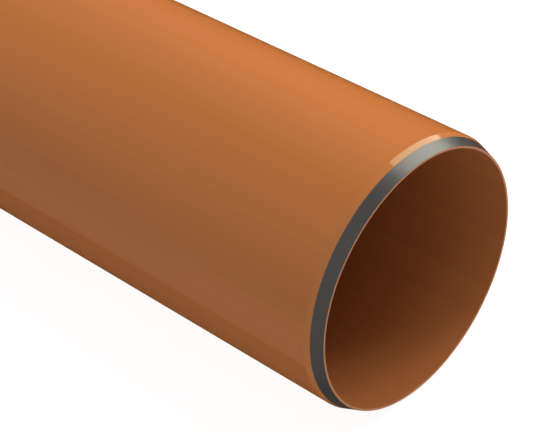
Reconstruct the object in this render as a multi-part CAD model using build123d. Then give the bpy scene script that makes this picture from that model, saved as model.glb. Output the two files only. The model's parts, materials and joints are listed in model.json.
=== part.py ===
"""Plain-ended drain pipe with a three-layer wall, lying on its side.

Millimetres, +Z up. The pipe runs along X, and the origin is on the floor under its middle.
The wall is one extrusion of three bonded layers: terracotta outer skin, grey core, terracotta inner skin.
Each end is turned to a chamfer through the outer skin and the core, so that it slides into a socket.
The core shows there as a grey band round the mouth, and the inner skin is left as the flat end face.
"""

import os

from build123d import *

# Driving dimensions
pipe_length = 500.0
outside_diameter = 110.0
outer_skin_thickness = 0.78
core_thickness = 1.72
inner_skin_thickness = 0.9
chamfer_length = 7.0  # along the pipe's axis

# Radii where the layers meet, from the outside in
outer_radius = outside_diameter / 2
core_radius = outer_radius - outer_skin_thickness
liner_radius = core_radius - core_thickness
bore_radius = liner_radius - inner_skin_thickness

# Distances from the pipe's middle: the end face, where the chamfer starts, and where it cuts into the core
end_face = pipe_length / 2
shoulder = end_face - chamfer_length
core_share = core_thickness / (outer_skin_thickness + core_thickness)
band_edge = end_face - chamfer_length * core_share


def layer(inner_radius, inner_reach, layer_radius, outer_reach):
    """One layer of the wall, turned about the pipe's axis. A reach is half the length of that side of it."""
    section = [
        (-inner_reach, inner_radius),
        (inner_reach, inner_radius),
        (outer_reach, layer_radius),
        (-outer_reach, layer_radius),
    ]
    with BuildPart() as tube:
        with BuildSketch(Plane.XZ):
            with BuildLine():
                Polyline(*section, close=True)
            make_face()
        revolve(axis=Axis.X)
    return Pos(0, 0, outer_radius) * tube.part


layers = {
    "outer_skin": layer(core_radius, band_edge, outer_radius, shoulder),
    "grey_core": layer(liner_radius, end_face, core_radius, band_edge),
    "inner_skin": layer(bore_radius, end_face, liner_radius, end_face),
}

os.makedirs("parts", exist_ok=True)
for name, solid in layers.items():
    export_step(solid, f"parts/{name}.step")
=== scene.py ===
"""A plain-ended drain pipe with a three-layer wall, finished in its plastics and lit in a plain studio.

Metres, +Z up. The pipe lies on the floor along X, and the mouth that the camera sees is at +X.
"""

import json
import math

import bpy
from bpy.props import FloatProperty, FloatVectorProperty, IntProperty, PointerProperty
from mathutils import Color, Matrix, Vector


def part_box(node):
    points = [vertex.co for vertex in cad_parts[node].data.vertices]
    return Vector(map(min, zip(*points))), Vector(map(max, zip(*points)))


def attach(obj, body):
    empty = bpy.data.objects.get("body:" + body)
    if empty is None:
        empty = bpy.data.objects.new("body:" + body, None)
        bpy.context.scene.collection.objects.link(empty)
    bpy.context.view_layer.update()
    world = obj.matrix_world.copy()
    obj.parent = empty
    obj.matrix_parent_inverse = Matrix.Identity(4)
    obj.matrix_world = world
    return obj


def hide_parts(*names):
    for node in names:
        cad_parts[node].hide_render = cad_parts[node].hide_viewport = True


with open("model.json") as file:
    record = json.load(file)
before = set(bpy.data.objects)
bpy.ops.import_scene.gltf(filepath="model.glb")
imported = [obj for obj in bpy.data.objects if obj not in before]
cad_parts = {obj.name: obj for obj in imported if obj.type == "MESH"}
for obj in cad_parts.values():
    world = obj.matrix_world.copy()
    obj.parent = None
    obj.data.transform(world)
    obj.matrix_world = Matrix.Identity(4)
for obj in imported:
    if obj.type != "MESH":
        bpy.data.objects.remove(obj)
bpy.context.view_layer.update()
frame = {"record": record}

bl_info = {
    "name": "Drain Pipe",
    "version": (1, 0, 0),
    "blender": (4, 5, 0),
    "location": "3D View > Sidebar > Drain Pipe",
    "description": "Turns the layers of a drain pipe's wall, finishes their plastics and sets a studio",
    "category": "Object",
}

BODY = "root"
MILLIMETRE = 0.001
MICRON = 0.000001

# Sizes of the pipe, from the frame
MOUNTS = {mount["name"]: mount for mount in frame["record"]["mounts"]}
AXIS_HEIGHT = MOUNTS["bore"]["pos_m"][2]
OUTER_RADIUS = MOUNTS["front_spigot"]["dims"]["r_mm"] * MILLIMETRE
CORE_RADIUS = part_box("grey_core")[1].z - AXIS_HEIGHT
LINER_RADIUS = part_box("inner_skin")[1].z - AXIS_HEIGHT
BORE_RADIUS = MOUNTS["bore"]["dims"]["r_mm"] * MILLIMETRE
END_REACH = MOUNTS["bore"]["dims"]["length_mm"] * MILLIMETRE / 2
BAND_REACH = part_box("outer_skin")[1].x
SHOULDER_REACH = MOUNTS["front_spigot"]["dims"]["length_mm"] * MILLIMETRE / 2
MOUTH = Vector((END_REACH, 0, AXIS_HEIGHT))

# The picture's frame in pixels, and the value of white on a screen
PICTURE_WIDTH = 540
PICTURE_HEIGHT = 432
SCREEN_WHITE = 255

# Sockets of a Mix node that works on colours
MIX_FACTOR, MIX_A, MIX_B, MIX_COLOUR = 0, 6, 7, 2


def linear(*screen):
    """A colour on the 0 to 255 screen scale as the linear values that a shader takes."""
    return tuple(Color([value / SCREEN_WHITE for value in screen]).from_srgb_to_scene_linear())


def length(name, description, default):
    """A property that holds a size in metres."""
    return FloatProperty(
        name=name, description=description, default=default, min=0, unit="LENGTH", precision=5
    )


def share(name, description, default):
    """A property that holds a share between nothing and all."""
    return FloatProperty(
        name=name, description=description, default=default, min=0, max=1, subtype="FACTOR"
    )


def colour(name, description, default):
    """A property that holds a colour."""
    return FloatVectorProperty(
        name=name, description=description, default=default, min=0, max=1, subtype="COLOR"
    )


def amount(name, description, default):
    """A property that holds a number with no unit of Blender's."""
    return FloatProperty(name=name, description=description, default=default, min=0)


def angle(name, description, default):
    """A property that holds an angle. The default is given in degrees."""
    radians = math.radians(default)
    return FloatProperty(name=name, description=description, default=radians, subtype="ANGLE")


class PipeWall(bpy.types.PropertyGroup):
    """Sizes of the wall's layers and of their edges"""

    outer_radius: length("Outer radius", "Outside of the outer skin", OUTER_RADIUS)
    core_radius: length("Core radius", "Where the outer skin meets the grey core", CORE_RADIUS)
    liner_radius: length("Liner radius", "Where the grey core meets the inner skin", LINER_RADIUS)
    bore_radius: length("Bore radius", "Inside of the inner skin", BORE_RADIUS)
    end_reach: length("End reach", "From the pipe's middle to its end face", END_REACH)
    band_reach: length("Band reach", "From the middle to where the chamfer leaves the core", BAND_REACH)
    shoulder_reach: length("Shoulder reach", "From the middle to the chamfer's start", SHOULDER_REACH)
    axis_height: length("Axis height", "Height of the pipe's axis over the floor", AXIS_HEIGHT)
    shoulder_round: length("Shoulder round", "Rounding at the chamfer's start", 0.25 * MILLIMETRE)
    mouth_round: length("Mouth round", "Rounding of the bore's edge at the mouth", 0.12 * MILLIMETRE)
    facets: IntProperty(name="Facets", description="Facets round the pipe", default=288, min=12)


class PipeFinish(bpy.types.PropertyGroup):
    """Colours and surface detail of the plastics"""

    skin_colour: colour("Skin colour", "Terracotta of the extruded outside", linear(195, 115, 58))
    lining_colour: colour("Lining colour", "Terracotta of the bore", linear(190, 118, 67))
    turned_colour: colour("Turned colour", "Terracotta of the chamfer", linear(198, 120, 62))
    core_colour: colour("Core colour", "Dark grey of the core", linear(58, 55, 52))
    cut_colour: colour("Cut colour", "Paler terracotta of the sawn end face", linear(217, 147, 98))
    skin_tint: colour("Skin tint", "Tint of the outside's highlights", (0.8, 1, 0.78))
    skin_roughness: share("Skin roughness", "Roughness of the extruded outside", 0.08)
    lining_roughness: share("Lining roughness", "Roughness of the bore", 0.3)
    core_roughness: share("Core roughness", "Roughness of the turned core", 0.34)
    cut_roughness: share("Cut roughness", "Roughness of the sawn end face", 0.6)
    core_specular: share("Core specular", "Strength of the core's highlights", 1.0)
    speck_colour: colour("Speck colour", "Paler grey of the core's specks", linear(70, 67, 64))
    mottling: share("Mottling", "How far the terracotta varies", 0.1)
    ring_contrast: share("Ring contrast", "How far the rings on the chamfer vary in tone", 0.15)
    gloss_change: share("Gloss change", "How far the roughness varies", 0.06)
    die_line_depth: length("Die line depth", "Depth of the lines along the skins", 0.8 * MICRON)
    tool_line_depth: length("Tool line depth", "Depth of the rings on the chamfer", 0.6 * MICRON)


class PipeStudio(bpy.types.PropertyGroup):
    """Camera, lights and floor"""

    azimuth: angle("Azimuth", "Camera's turn round the pipe", 43.05)
    elevation: angle("Elevation", "Camera's height over the horizon", 34.64)
    lens: amount("Lens", "Focal length in millimetres", 124.97)
    mouth_across: amount("Mouth across", "Pixels from the picture's left to the mouth's centre", 419.85)
    mouth_down: amount("Mouth down", "Pixels from the picture's top to the mouth's centre", 280.68)
    distance: length("Distance", "From the camera to the mouth, along the view", 12.36 * OUTER_RADIUS)
    room_above: amount("Room above", "Brightness of the room overhead", 0.282)
    room_below: amount("Room below", "Brightness of the room under the floor", 0.058)
    room_front: amount("Room in front", "Brightness of the room on the camera's side", 0.474)
    room_behind: amount("Room behind", "Brightness of the room behind the pipe", 0.026)
    room_right: amount("Room on the right", "Brightness of the room past the near mouth", 0.08)
    room_left: amount("Room on the left", "Brightness of the room past the far mouth", 0.02)
    shade_turn: angle("Shade turn", "How far the dark patch is left of straight behind", 90)
    shade_depth: angle("Shade depth", "How far the dark patch is under the horizon", 55)
    shade_reach: angle("Shade reach", "Radius of the dark patch", 15.3)
    glow_colour: colour("Glow colour", "Glow that the pipe's edges reflect", (0.16, 0.058, 0.014))
    glow_turn: angle("Glow turn", "How far the glow is left of straight behind", 41)
    glow_depth: angle("Glow depth", "How far the glow is under the horizon", 32)
    glow_reach: angle("Glow reach", "Radius of the glow", 45)
    overhead_light: amount("Overhead light", "Brightness of the strip light over the pipe", 18)
    overhead_tilt: angle("Overhead tilt", "How far that light is turned to the back", 3.5)
    key_light: amount("Key light", "Brightness of the strip light behind the pipe", 7.2)
    key_tilt: angle("Key tilt", "How far that light is turned to the back", 55)
    mouth_light: amount("Mouth light", "Brightness of the short light over the near mouth", 11.3)
    mouth_tilt: angle("Mouth tilt", "How far that light is turned to the back", 45)
    far_light: length("Far light", "From the axis to the overhead and mouth lights", 6 * OUTER_RADIUS)
    close_light: length("Close light", "From the axis to the key light", 3 * OUTER_RADIUS)
    strip_width: length("Strip width", "Width of the two long strip lights", 0.02)
    mouth_width: length("Mouth light width", "Width of the short light over the near mouth", 0.1)
    past_far_mouth: length("Past far mouth", "How far the strips go past the far mouth", 0.35)
    past_near_mouth: length("Past near mouth", "How far the lights go past the near mouth", 0.14)
    back_panel: amount("Back panel", "Brightness of the panel that shines on the chamfer", 3.9)
    panel_colour: colour("Panel colour", "Colour of the back panel", (1, 0.982, 0.846))
    panel_turn: angle("Panel turn", "How far the panel is left of straight behind the mouth", 9.4)
    panel_rise: angle("Panel rise", "Height of the panel over the horizon, from the mouth", 47.35)
    panel_distance: length("Panel distance", "From the mouth to the back panel", 1.5)
    panel_width: length("Panel width", "Width of the back panel", 0.8)
    panel_length: length("Panel length", "Upright side of the back panel", 1.383)
    floor_reach: length("Floor reach", "From the pipe's middle to the floor's edges", 40 * END_REACH)
    floor_colour: colour("Floor colour", "Colour of the floor's shading", linear(188, 188, 188))
    shadow_colour: colour("Shadow colour", "That shading as the camera sees it", linear(124, 124, 124))
    floor_bounce: amount("Floor bounce", "Light that the floor sends up to the pipe", 0.335)
    floor_white: amount("Floor white", "Light of the floor as the camera sees it", 0.93)


class Flow:
    """An output socket in a node tree. Sums with it add Math nodes to that tree."""

    def __init__(self, tree, socket=None):
        self.tree = tree
        self.socket = socket

    def node(self, kind, settings=None, inputs=None, output=0):
        """Adds a node, makes its settings, then fills or links its inputs, and gives one output."""
        made = self.tree.nodes.new(kind)
        for name, value in (settings or {}).items():
            setattr(made, name, value)
        for name, value in (inputs or {}).items():
            if isinstance(value, Flow):
                self.tree.links.new(value.socket, made.inputs[name])
            else:
                made.inputs[name].default_value = value
        return Flow(self.tree, made.outputs[output] if made.outputs else None)

    def other(self, output):
        """Another output of the same node."""
        return Flow(self.tree, self.socket.node.outputs[output])

    def math(self, operation, *terms):
        """Adds a Math node that works on these terms."""
        return self.node("ShaderNodeMath", {"operation": operation}, dict(enumerate(terms)))

    def __add__(self, term):
        return self.math("ADD", self, term)

    __radd__ = __add__

    def __sub__(self, term):
        return self.math("SUBTRACT", self, term)

    def __rsub__(self, term):
        return self.math("SUBTRACT", term, self)

    def __mul__(self, term):
        return self.math("MULTIPLY", self, term)

    __rmul__ = __mul__

    def __truediv__(self, term):
        return self.math("DIVIDE", self, term)

    def __neg__(self):
        return self * -1

    def __abs__(self):
        return self.math("ABSOLUTE", self)

    def __gt__(self, term):
        return self.math("GREATER_THAN", self, term)

    def above(self, floor):
        """This value, or the floor where that is more."""
        return self.math("MAXIMUM", self, floor)

    def ramp(self, low, high):
        """Rises smoothly from 0 at low to 1 at high."""
        inputs = {"Value": self, "From Min": low, "From Max": high}
        return self.node("ShaderNodeMapRange", {"interpolation_type": "SMOOTHSTEP"}, inputs)

    def blend(self, start, finish):
        """Mixes two colours, with this value as the share of the second."""
        inputs = {MIX_FACTOR: self, MIX_A: opaque(start), MIX_B: opaque(finish)}
        return self.node("ShaderNodeMix", {"data_type": "RGBA"}, inputs, MIX_COLOUR)

    def noise(self, sizes, detail):
        """Noise between 0 and 1 at this place, with patches of about these sizes along X, Y and Z."""
        finer = {0: self, 1: tuple(1 / size for size in sizes)}
        place = self.node("ShaderNodeVectorMath", {"operation": "MULTIPLY"}, finer)
        return self.node("ShaderNodeTexNoise", None, {"Vector": place, "Scale": 1.0, "Detail": detail})


def opaque(value):
    """A colour with its alpha, where it is a plain one."""
    return value if isinstance(value, Flow) else (*value[:3], 1.0)


# Geometry

LAYER_SIZES = (
    "Inner radius",
    "Inner reach",
    "Outer radius",
    "Outer reach",
    "Inner round",
    "Outer round",
    "Axis height",
)
LAST_INNER_CORNER = 1  # of the section's four, counted from 0
ROUND_POINTS = 3
SHARP_ANGLE = math.radians(2.5)
WELD_DISTANCE = 1 * MICRON
QUARTER_TURN = math.pi / 2


def layer_tree():
    """Geometry Nodes that turn one layer of the wall: a four-cornered section swept round the axis."""
    tree = bpy.data.node_groups.new("turned_layer", "GeometryNodeTree")
    tree.interface.new_socket("Layer", in_out="OUTPUT", socket_type="NodeSocketGeometry")
    for name in LAYER_SIZES:
        tree.interface.new_socket(name, in_out="INPUT", socket_type="NodeSocketFloat")
    tree.interface.new_socket("Facets", in_out="INPUT", socket_type="NodeSocketInt")
    tree.interface.new_socket("Material", in_out="INPUT", socket_type="NodeSocketMaterial")

    flow = Flow(tree)
    given = flow.node("NodeGroupInput")
    inner_radius = given.other("Inner radius")
    inner_reach = given.other("Inner reach")
    outer_reach = given.other("Outer reach")
    inner_round = given.other("Inner round")
    outer_round = given.other("Outer round")
    thickness = given.other("Outer radius") - inner_radius

    def corner(depth, reach):
        """A corner of the section, from its depth over the inner side and its place along the pipe."""
        return flow.node("ShaderNodeCombineXYZ", None, {"X": depth, "Y": reach})

    # This order of the corners turns the faces outwards
    corners = {
        "Point 1": corner(0.0, inner_reach),
        "Point 2": corner(0.0, -inner_reach),
        "Point 3": corner(thickness, -outer_reach),
        "Point 4": corner(thickness, outer_reach),
    }
    section = flow.node("GeometryNodeCurvePrimitiveQuadrilateral", {"mode": "POINTS"}, corners)
    outside = flow.node("GeometryNodeInputIndex") > LAST_INNER_CORNER
    rounding = inner_round + outside * (outer_round - inner_round)
    rounded = {"Curve": section, "Count": ROUND_POINTS, "Radius": rounding, "Limit Radius": True}
    section = flow.node("GeometryNodeFilletCurve", {"mode": "POLY"}, rounded)

    circle = {"Resolution": given.other("Facets"), "Radius": inner_radius}
    path = flow.node("GeometryNodeCurvePrimitiveCircle", {"mode": "RADIUS"}, circle)
    path = flow.node("GeometryNodeSetCurveNormal", {"mode": "Z_UP"}, {"Curve": path})
    tube = flow.node("GeometryNodeCurveToMesh", None, {"Curve": path, "Profile Curve": section})
    welded = {"Geometry": tube, "Distance": WELD_DISTANCE}
    tube = flow.node("GeometryNodeMergeByDistance", None, welded)
    lift = flow.node("ShaderNodeCombineXYZ", None, {"Z": given.other("Axis height")})
    lying = {"Geometry": tube, "Translation": lift, "Rotation": (0, QUARTER_TURN, 0)}
    tube = flow.node("GeometryNodeTransform", None, lying)
    smooth = {"Geometry": tube, "Shade Smooth": True}
    tube = flow.node("GeometryNodeSetShadeSmooth", {"domain": "FACE"}, smooth)
    sharp = flow.node("GeometryNodeInputMeshEdgeAngle") > SHARP_ANGLE
    crisp = {"Geometry": tube, "Selection": sharp, "Shade Smooth": False}
    tube = flow.node("GeometryNodeSetShadeSmooth", {"domain": "EDGE"}, crisp)
    tube = flow.node("GeometryNodeRealizeInstances", None, {"Geometry": tube})
    dressed = {"Geometry": tube, "Material": given.other("Material")}
    tube = flow.node("GeometryNodeSetMaterial", None, dressed)
    flow.node("NodeGroupOutput", None, {"Layer": tube})
    return tree


def turned_layer(name, node, sizes, material):
    """Makes one layer as a plain mesh that stands for its node."""
    tree = bpy.data.node_groups.get("turned_layer") or layer_tree()
    piece = bpy.data.objects.new(name, bpy.data.meshes.new(name))
    bpy.context.scene.collection.objects.link(piece)
    turning = piece.modifiers.new("turning", "NODES")
    turning.node_group = tree
    wall = bpy.context.scene.pipe_wall
    values = {"Axis height": wall.axis_height, "Facets": wall.facets, "Material": material, **sizes}
    for socket in tree.interface.items_tree:
        if socket.in_out == "INPUT":
            turning[socket.identifier] = values[socket.name]
    depsgraph = bpy.context.evaluated_depsgraph_get()
    mesh = bpy.data.meshes.new_from_object(piece.evaluated_get(depsgraph), depsgraph=depsgraph)
    if not mesh.polygons:
        raise RuntimeError(f"{name} came out empty")
    piece.modifiers.clear()
    piece.data = mesh
    mesh.name = name
    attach(piece, BODY)
    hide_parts(node)


# Materials

# Sizes of the plastics' patterns along X, Y and Z
STREAK_SIZE = (200 * MILLIMETRE, 4 * MILLIMETRE, 4 * MILLIMETRE)
CLOUD_SIZE = (120 * MILLIMETRE, 30 * MILLIMETRE, 30 * MILLIMETRE)
DIE_LINE_SIZE = (300 * MILLIMETRE, 0.5 * MILLIMETRE, 0.5 * MILLIMETRE)
RING_SIZE = (0.12 * MILLIMETRE, 50 * MILLIMETRE, 50 * MILLIMETRE)
SAW_MARK_SIZE = (10 * MILLIMETRE, 0.3 * MILLIMETRE, 0.3 * MILLIMETRE)
SPECK_SIZE = (0.4 * MILLIMETRE, 0.4 * MILLIMETRE, 0.4 * MILLIMETRE)
CUT_BLUR = 0.03 * MILLIMETRE

# Detail of the patterns' noise, its mean, and its values where a speck starts and where it is full
SOFT_DETAIL = 3.0
LINE_DETAIL = 2.0
SPECK_DETAIL = 1.0
MEAN_NOISE = 0.5
SPECK_START = 0.6
SPECK_FULL = 0.8


def new_material(name):
    """An empty material, and a flow to add its nodes to."""
    material = bpy.data.materials.new(name)
    material.use_nodes = True
    material.node_tree.nodes.clear()
    return material, Flow(material.node_tree)


def plastic(flow, looks, height, **constants):
    """Ends a material in a plastic whose normal follows a height in metres."""
    normal = flow.node("ShaderNodeBump", None, {"Height": height, "Distance": 1.0, "Strength": 1.0})
    inputs = {**looks, "Normal": normal, **constants}
    surface = flow.node("ShaderNodeBsdfPrincipled", None, inputs)
    flow.node("ShaderNodeOutputMaterial", None, {"Surface": surface})


def along_pipe(flow):
    """The place on the pipe, and its distance from the pipe's middle."""
    place = flow.node("ShaderNodeTexCoord", None, None, "Object")
    across = flow.node("ShaderNodeSeparateXYZ", None, {"Vector": place})
    return place, abs(across)


def shades(tint, spread):
    """A darker and a lighter shade of a colour."""
    darker = tuple(value * (1 - spread) for value in tint)
    lighter = tuple(min(value * (1 + spread), 1) for value in tint)
    return darker, lighter


def outer_skin_material():
    """Terracotta outside, extruded with faint lines along it and turned in fine rings on the chamfer."""
    finish = bpy.context.scene.pipe_finish
    shoulder = bpy.context.scene.pipe_wall.shoulder_reach
    material, flow = new_material("terracotta_outside")
    place, reach = along_pipe(flow)
    turned = reach.ramp(shoulder, shoulder + CUT_BLUR)
    streaks = place.noise(STREAK_SIZE, SOFT_DETAIL)
    clouds = place.noise(CLOUD_SIZE, SOFT_DETAIL)
    die_lines = place.noise(DIE_LINE_SIZE, LINE_DETAIL)
    rings = place.noise(RING_SIZE, LINE_DETAIL)
    tone = (streaks + clouds) / 2
    skin = tone.blend(*shades(finish.skin_colour, finish.mottling))
    chamfer = rings.blend(*shades(finish.turned_colour, finish.ring_contrast))
    looks = {
        "Base Color": turned.blend(skin, chamfer),
        "Roughness": finish.skin_roughness + (streaks - MEAN_NOISE) * finish.gloss_change,
    }
    height = die_lines * finish.die_line_depth * (1 - turned) + rings * finish.tool_line_depth * turned
    plastic(flow, looks, height, **{"Specular Tint": opaque(finish.skin_tint)})
    return material


def inner_skin_material():
    """Terracotta lining, extruded as the outside is, with a paler sawn end face."""
    finish = bpy.context.scene.pipe_finish
    end = bpy.context.scene.pipe_wall.end_reach
    material, flow = new_material("terracotta_lining")
    place, reach = along_pipe(flow)
    sawn = reach.ramp(end - CUT_BLUR, end)
    streaks = place.noise(STREAK_SIZE, SOFT_DETAIL)
    die_lines = place.noise(DIE_LINE_SIZE, LINE_DETAIL)
    saw_marks = place.noise(SAW_MARK_SIZE, LINE_DETAIL)
    lining = streaks.blend(*shades(finish.lining_colour, finish.mottling))
    end_face = saw_marks.blend(*shades(finish.cut_colour, finish.mottling))
    roughness = finish.lining_roughness + (streaks - MEAN_NOISE) * finish.gloss_change
    looks = {
        "Base Color": sawn.blend(lining, end_face),
        "Roughness": roughness + sawn * (finish.cut_roughness - finish.lining_roughness),
    }
    height = die_lines * finish.die_line_depth * (1 - sawn) + saw_marks * finish.tool_line_depth * sawn
    plastic(flow, looks, height)
    return material


def core_material():
    """Dark grey core, turned in fine rings on the chamfer, with specks of reground plastic."""
    finish = bpy.context.scene.pipe_finish
    material, flow = new_material("grey_plastic")
    place, _ = along_pipe(flow)
    specks = place.noise(SPECK_SIZE, SPECK_DETAIL).ramp(SPECK_START, SPECK_FULL)
    rings = place.noise(RING_SIZE, LINE_DETAIL)
    grey = rings.blend(*shades(finish.core_colour, finish.ring_contrast))
    looks = {
        "Base Color": specks.blend(grey, finish.speck_colour),
        "Roughness": finish.core_roughness + (rings - MEAN_NOISE) * finish.gloss_change,
    }
    height = rings * finish.tool_line_depth
    plastic(flow, looks, height, **{"Specular IOR Level": finish.core_specular})
    return material


# The pipe's pieces


class PIPE_OT_outer_skin(bpy.types.Operator):
    """Turns the terracotta outer skin"""

    bl_idname = "pipe.outer_skin"
    bl_label = "Outer Skin"

    def execute(self, context):
        wall = context.scene.pipe_wall
        sizes = {
            "Inner radius": wall.core_radius,
            "Inner reach": wall.band_reach,
            "Outer radius": wall.outer_radius,
            "Outer reach": wall.shoulder_reach,
            "Inner round": 0.0,
            "Outer round": wall.shoulder_round,
        }
        turned_layer("pipe_outer_skin", "outer_skin", sizes, outer_skin_material())
        return {"FINISHED"}


class PIPE_OT_grey_core(bpy.types.Operator):
    """Turns the grey core, which shows as a band round each mouth"""

    bl_idname = "pipe.grey_core"
    bl_label = "Grey Core"

    def execute(self, context):
        wall = context.scene.pipe_wall
        sizes = {
            "Inner radius": wall.liner_radius,
            "Inner reach": wall.end_reach,
            "Outer radius": wall.core_radius,
            "Outer reach": wall.band_reach,
            "Inner round": 0.0,
            "Outer round": 0.0,
        }
        turned_layer("pipe_grey_core", "grey_core", sizes, core_material())
        return {"FINISHED"}


class PIPE_OT_inner_skin(bpy.types.Operator):
    """Turns the terracotta inner skin, whose ends are the pipe's end faces"""

    bl_idname = "pipe.inner_skin"
    bl_label = "Inner Skin"

    def execute(self, context):
        wall = context.scene.pipe_wall
        sizes = {
            "Inner radius": wall.bore_radius,
            "Inner reach": wall.end_reach,
            "Outer radius": wall.liner_radius,
            "Outer reach": wall.end_reach,
            "Inner round": wall.mouth_round,
            "Outer round": 0.0,
        }
        turned_layer("pipe_inner_skin", "inner_skin", sizes, inner_skin_material())
        return {"FINISHED"}


# The studio


def way_to(turn, rise):
    """The way to a place, turned left from straight behind the pipe and raised over the horizon."""
    level = math.cos(rise)
    return Vector((-math.sin(turn) * level, math.cos(turn) * level, math.sin(rise)))


def place_camera(studio):
    """Puts the camera so that the mouth's centre falls on its place in the picture."""
    view = way_to(studio.azimuth, -studio.elevation)
    right = Vector((math.cos(studio.azimuth), math.sin(studio.azimuth), 0))
    up = right.cross(view)
    data = bpy.data.cameras.new("camera")
    data.lens = studio.lens
    pixel = studio.distance * data.sensor_width / data.lens / PICTURE_WIDTH
    mouth_right = (studio.mouth_across - PICTURE_WIDTH / 2) * pixel
    mouth_up = (PICTURE_HEIGHT / 2 - studio.mouth_down) * pixel
    camera = bpy.data.objects.new("camera", data)
    turn = Matrix((right, up, -view)).transposed().to_4x4()
    eye = MOUTH - right * mouth_right - up * mouth_up - view * studio.distance
    camera.matrix_world = Matrix.Translation(eye) @ turn
    bpy.context.scene.collection.objects.link(camera)
    bpy.context.scene.camera = camera


def area_light(name, place, target, size_x, size_y, radiance):
    """A rectangular light that faces a target and that the camera doesn't see."""
    data = bpy.data.lights.new(name, "AREA")
    data.shape = "RECTANGLE"
    data.size = size_x
    data.size_y = size_y
    data.energy = radiance * size_x * size_y * math.pi
    light = bpy.data.objects.new(name, data)
    turn = (Vector(target) - Vector(place)).to_track_quat("-Z", "Y")
    light.matrix_world = Matrix.Translation(place) @ turn.to_matrix().to_4x4()
    light.visible_camera = False
    bpy.context.scene.collection.objects.link(light)
    return light


def strip_light(name, start, end, width, tilt, distance, radiance):
    """A strip light along the pipe, turned from overhead by a tilt. It leaves no reflection."""
    middle = (start + end) / 2
    place = (middle, math.sin(tilt) * distance, AXIS_HEIGHT + math.cos(tilt) * distance)
    light = area_light(name, place, (middle, 0, AXIS_HEIGHT), end - start, width, radiance)
    light.visible_glossy = False


def strip_lights(studio):
    """Two long strips, over the pipe and behind it, and a short wide one over the near mouth."""
    far, near = studio.far_light, studio.close_light
    start = -END_REACH - studio.past_far_mouth
    end = END_REACH + studio.past_near_mouth
    width, mouth_width = studio.strip_width, studio.mouth_width
    strip_light("overhead", start, end, width, studio.overhead_tilt, far, studio.overhead_light)
    strip_light("key", start, END_REACH, width, studio.key_tilt, near, studio.key_light)
    strip_light("mouth", END_REACH, end, mouth_width, studio.mouth_tilt, far, studio.mouth_light)


def back_panel(studio):
    """A tall panel behind the mouth. Only its reflection on the chamfer shows."""
    place = MOUTH + way_to(studio.panel_turn, studio.panel_rise) * studio.panel_distance
    size = studio.panel_width, studio.panel_length
    panel = area_light("back_panel", place, MOUTH, *size, studio.back_panel)
    panel.data.color = studio.panel_colour
    panel.visible_diffuse = False


def room(studio):
    """A soft room, darker behind the pipe, that the camera sees as plain white."""
    world = bpy.data.worlds.new("room")
    world.use_nodes = True
    world.node_tree.nodes.clear()
    flow = Flow(world.node_tree)
    direction = flow.node("ShaderNodeTexCoord", None, None, "Generated")
    right = flow.node("ShaderNodeSeparateXYZ", None, {"Vector": direction})
    back, up = right.other("Y"), right.other("Z")

    def facing(turn, rise):
        """The cosine of a direction's angle from the way to a place in the room."""
        way = way_to(turn, rise)
        return right * way.x + back * way.y + up * way.z

    shade = facing(studio.shade_turn, -studio.shade_depth) > math.cos(studio.shade_reach)
    glow = facing(studio.glow_turn, -studio.glow_depth).ramp(math.cos(studio.glow_reach), 1)
    sides = right.above(0) * studio.room_right + (-right).above(0) * studio.room_left
    front = (-back).above(0) * (1 - shade)
    ends = back.above(0) * studio.room_behind + front * studio.room_front
    levels = up.above(0) * studio.room_above + (-up).above(0) * studio.room_below
    seen = flow.node("ShaderNodeLightPath", None, None, "Is Camera Ray")
    brightness = (sides + ends + levels).above(seen)
    reflected = glow * seen.other("Is Glossy Ray")
    tone = reflected.blend(brightness, studio.glow_colour)
    surface = flow.node("ShaderNodeBackground", None, {"Color": tone})
    flow.node("ShaderNodeOutputWorld", None, {"Surface": surface})
    bpy.context.scene.world = world


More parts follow.
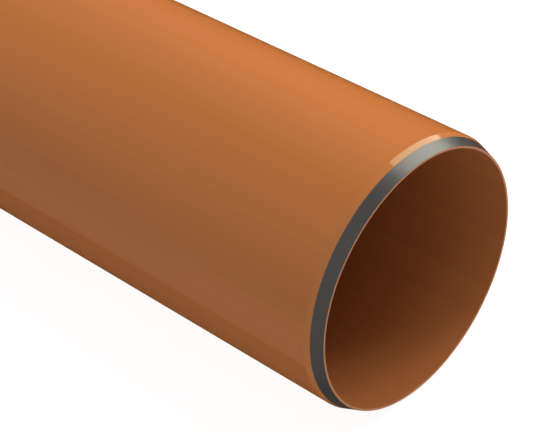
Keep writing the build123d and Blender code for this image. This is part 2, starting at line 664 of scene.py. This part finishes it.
def white_floor(studio):
    """A white floor that shines a little, so that the pipe's shadow on it is faint."""
    mesh = bpy.data.meshes.new("floor")
    reach = studio.floor_reach
    corners = [(-reach, -reach, 0), (reach, -reach, 0), (reach, reach, 0), (-reach, reach, 0)]
    mesh.from_pydata(corners, [], [range(len(corners))])
    floor = bpy.data.objects.new("floor", mesh)
    bpy.context.scene.collection.objects.link(floor)
    floor.visible_glossy = False
    material, flow = new_material("floor")
    seen = flow.node("ShaderNodeLightPath", None, None, "Is Camera Ray")
    strength = studio.floor_bounce + seen * (studio.floor_white - studio.floor_bounce)
    light = flow.node("ShaderNodeEmission", None, {"Strength": strength})
    tone = seen.blend(studio.floor_colour, studio.shadow_colour)
    shading = flow.node("ShaderNodeBsdfDiffuse", None, {"Color": tone})
    surface = flow.node("ShaderNodeAddShader", None, {0: light, 1: shading})
    flow.node("ShaderNodeOutputMaterial", None, {"Surface": surface})
    mesh.materials.append(material)


class PIPE_OT_studio(bpy.types.Operator):
    """Sets the camera, the lights and the floor"""

    bl_idname = "pipe.studio"
    bl_label = "Studio"

    def execute(self, context):
        studio = context.scene.pipe_studio
        context.scene.view_settings.view_transform = "Standard"
        place_camera(studio)
        room(studio)
        white_floor(studio)
        strip_lights(studio)
        back_panel(studio)
        return {"FINISHED"}


class PIPE_PT_panel(bpy.types.Panel):
    """Lists the pipe's sizes, finishes and steps"""

    bl_idname = "PIPE_PT_panel"
    bl_label = "Drain Pipe"
    bl_space_type = "VIEW_3D"
    bl_region_type = "UI"
    bl_category = "Drain Pipe"

    def draw(self, context):
        for name, group in GROUPS.items():
            box = self.layout.box()
            for setting in group.__annotations__:
                box.prop(getattr(context.scene, name), setting)
        for step in STEPS:
            self.layout.operator(step.bl_idname)


GROUPS = {"pipe_wall": PipeWall, "pipe_finish": PipeFinish, "pipe_studio": PipeStudio}
STEPS = (PIPE_OT_outer_skin, PIPE_OT_grey_core, PIPE_OT_inner_skin, PIPE_OT_studio)
CLASSES = (*GROUPS.values(), *STEPS, PIPE_PT_panel)


def register():
    """Registers the classes and gives each scene the groups of settings."""
    for made in CLASSES:
        bpy.utils.register_class(made)
    for name, group in GROUPS.items():
        setattr(bpy.types.Scene, name, PointerProperty(type=group))


def unregister():
    """Takes the settings off the scenes and unregisters the classes."""
    for name in GROUPS:
        delattr(bpy.types.Scene, name)
    for made in reversed(CLASSES):
        bpy.utils.unregister_class(made)


def main():
    """Makes the pipe and its studio."""
    register()
    bpy.ops.pipe.outer_skin()
    bpy.ops.pipe.grey_core()
    bpy.ops.pipe.inner_skin()
    bpy.ops.pipe.studio()


if __name__ == "__main__":
    main()
